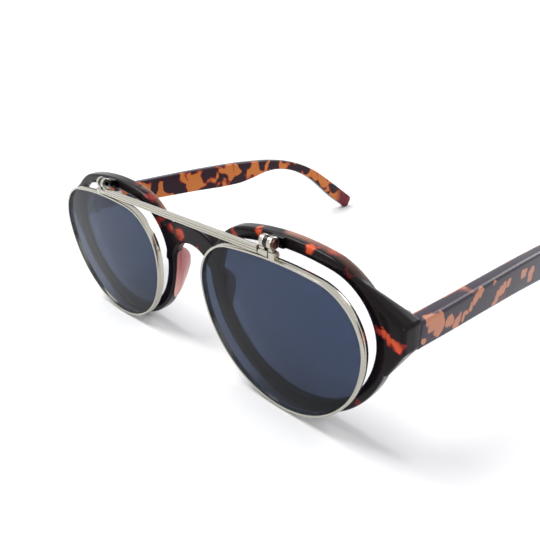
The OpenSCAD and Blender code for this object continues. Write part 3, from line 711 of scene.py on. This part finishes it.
def pad_mesh(side):
    """Level ellipses down the length of the pad, between its front and its back; the part behind the
    rim is sheared away from the nose, as a nose widens towards the face."""
    t = (1 - np.cos(np.linspace(0, np.pi, 44))) / 2
    fine, width = np.linspace(-0.1, 1.1, 400), 29
    columns = []
    for column in (1, 2, 3, 4):
        values = np.pad(np.interp(fine, PAD[:, 0], PAD[:, column]), width // 2, mode="edge")
        even = np.convolve(values, np.ones(width) / width, mode="valid")
        columns.append(np.interp(t, fine, even)[:, None])
    offset, front, back, half = columns
    # The upper end is blunt and the lower one rounder
    close = np.sqrt(np.clip(1 - np.abs(2 * t - 1) ** np.where(t < 0.5, 16, 6), 0, 1))[:, None]
    half = half * close
    a = np.linspace(0, 2 * np.pi, 32, endpoint=False)[None]
    y = (front + back) / 2 + (back - front) / 2 * close * np.sin(a)
    x = nasal_edge + offset + half * np.cos(a) + shear * np.maximum(0, y - free_depth)
    z = np.broadcast_to((pad_high - pad_length * t)[:, None], x.shape)
    mesh = bmesh.new()
    add_grid(mesh, standing(np.stack([side * x, y, z], -1)), rows_close=False, capped=True)
    return mesh


for side, word in ((1, "left"), (-1, "right")):
    finished("pink_nose_pad_" + word, pad_mesh(side), pad_pink, "spectacle_frame", "nose_pad_" + word)

# Eye wires.
# Two split wires of polished nickel silver hold the tinted lenses. Each has a thin lip in front, is
# two millimetres deep, has a line pressed along its outside and ends in a lug that a screw closes.
nickel = metal("nickel", (0.46, 0.44, 0.38), roughness=0.16)
wire_lip, wire_width, wire_depth, wire_round, line_depth = 0.5, 1.1, 2.0, 0.12, 0.16
wire_top, lock_block, lug_round, hinge_spread, split_x = 16.8, 1.6, 0.3, 35.0, 35.7
# The profile of a wire, outwards from its lens line and backwards from its front
section = np.array([
    (wire_lip, wire_round), (wire_lip + wire_round, 0), (wire_width - 0.22, 0), (wire_width - 0.06, 0.07),
    (wire_width, 0.25), (wire_width, 0.72), (wire_width - line_depth, 0.86), (wire_width - line_depth, 1.06),
    (wire_width, 1.2), (wire_width, 1.75), (wire_width - 0.06, 1.93), (wire_width - 0.22, wire_depth),
    (wire_lip, wire_depth)])
for side, word in ((1, "left"), (-1, "right")):
    line, away = lens_outline(TINT_ARCS, 300)
    mesh = bmesh.new()
    add_grid(mesh, ring_grid(section, line, away) + np.array([side * flip_x, flip_y, 0]))
    # The closing lug of the split wire, outside the hinge leaf
    cloud = [ball(x, flip_y + y, z, lug_round, rings=5) for x in (split_x + 0.45, hinge_spread + 2.3)
             for y in (0.32, wire_depth - 0.32) for z in (wire_top - 0.2, wire_top + lock_block - 0.4)]
    add_hull(mesh, np.concatenate(cloud) * np.array([side, 1, 1]))
    stand_up(mesh)
    finished("eye_wire_" + word, mesh, nickel, "flip_front", "flip_rim_" + word, smooth=30)

# Flip hinges and brow bar.
# A leaf with two knuckles stands on each eye wire and turns on a pin in the bracket of the plastic
# front. One straight bar joins both leaves, and a small screw beside each closes the split wire.
barrel_z, barrel_y, barrel_radius = 19.95, -3.2, 1.5
barrel_half, middle_half = 1.8, 0.6
knuckle_ends = ((hinge_spread - barrel_half, hinge_spread - middle_half),
                (hinge_spread + middle_half, hinge_spread + barrel_half))
# Front and back of the necks below the knuckles and of the saddle on the wire, and the saddle's corners
neck_round, neck_depth = 0.25, (-4.0, -2.85)
saddle_round, saddle_depth = 0.35, (-4.25, -2.95)
saddle = ((hinge_spread - 2.25, wire_top + 0.5), (hinge_spread - 2.0, wire_top + 1.1),
          (split_x - 0.5, wire_top + 0.35), (split_x - 0.5, wire_top + 1.25))


def round_bar(x1, x2, y, z, radius, bevel=0.12, steps=36):
    """A closed round bar along x with small bevels at its ends, as rings of points."""
    a = np.linspace(0, 2 * np.pi, steps, endpoint=False)
    rows = ((x1, radius - bevel), (x1 + bevel, radius), (x2 - bevel, radius), (x2, radius - bevel))
    rings = [np.stack([np.full(steps, x), y + r * np.cos(a), z + r * np.sin(a)], -1) for x, r in rows]
    return np.stack(rings)


for side, word in ((1, "left"), (-1, "right")):
    mesh = bmesh.new()
    mirror = np.array([side, 1, 1])
    for x1, x2 in knuckle_ends:
        add_grid(mesh, round_bar(x1, x2, barrel_y, barrel_z, barrel_radius) * mirror, rows_close=False,
                 capped=True)
        neck = [ball(x, y, z, neck_round, rings=5) for x in (x1 + 0.27, x2 - 0.27) for y in neck_depth
                for z in (wire_top + 1.0, barrel_z - 0.4)]
        add_hull(mesh, np.concatenate(neck) * mirror)
    base = [ball(x, y, z, saddle_round, rings=5) for x, z in saddle for y in saddle_depth]
    add_hull(mesh, np.concatenate(base) * mirror)
    stand_up(mesh)
    finished("hinge_leaf_" + word, mesh, nickel, "flip_front", "flip_leaf_" + word, smooth=40)
painted(both("rim_lock_screw") + ["brow_bar"], nickel)
painted(both("flip_pin"), metal("dark_bronze", (0.13, 0.07, 0.06), roughness=0.3))
painted(both("flip_bracket"), metal("black_nickel", (0.035, 0.03, 0.032), roughness=0.25))

scene.view_settings.view_transform = "Standard"
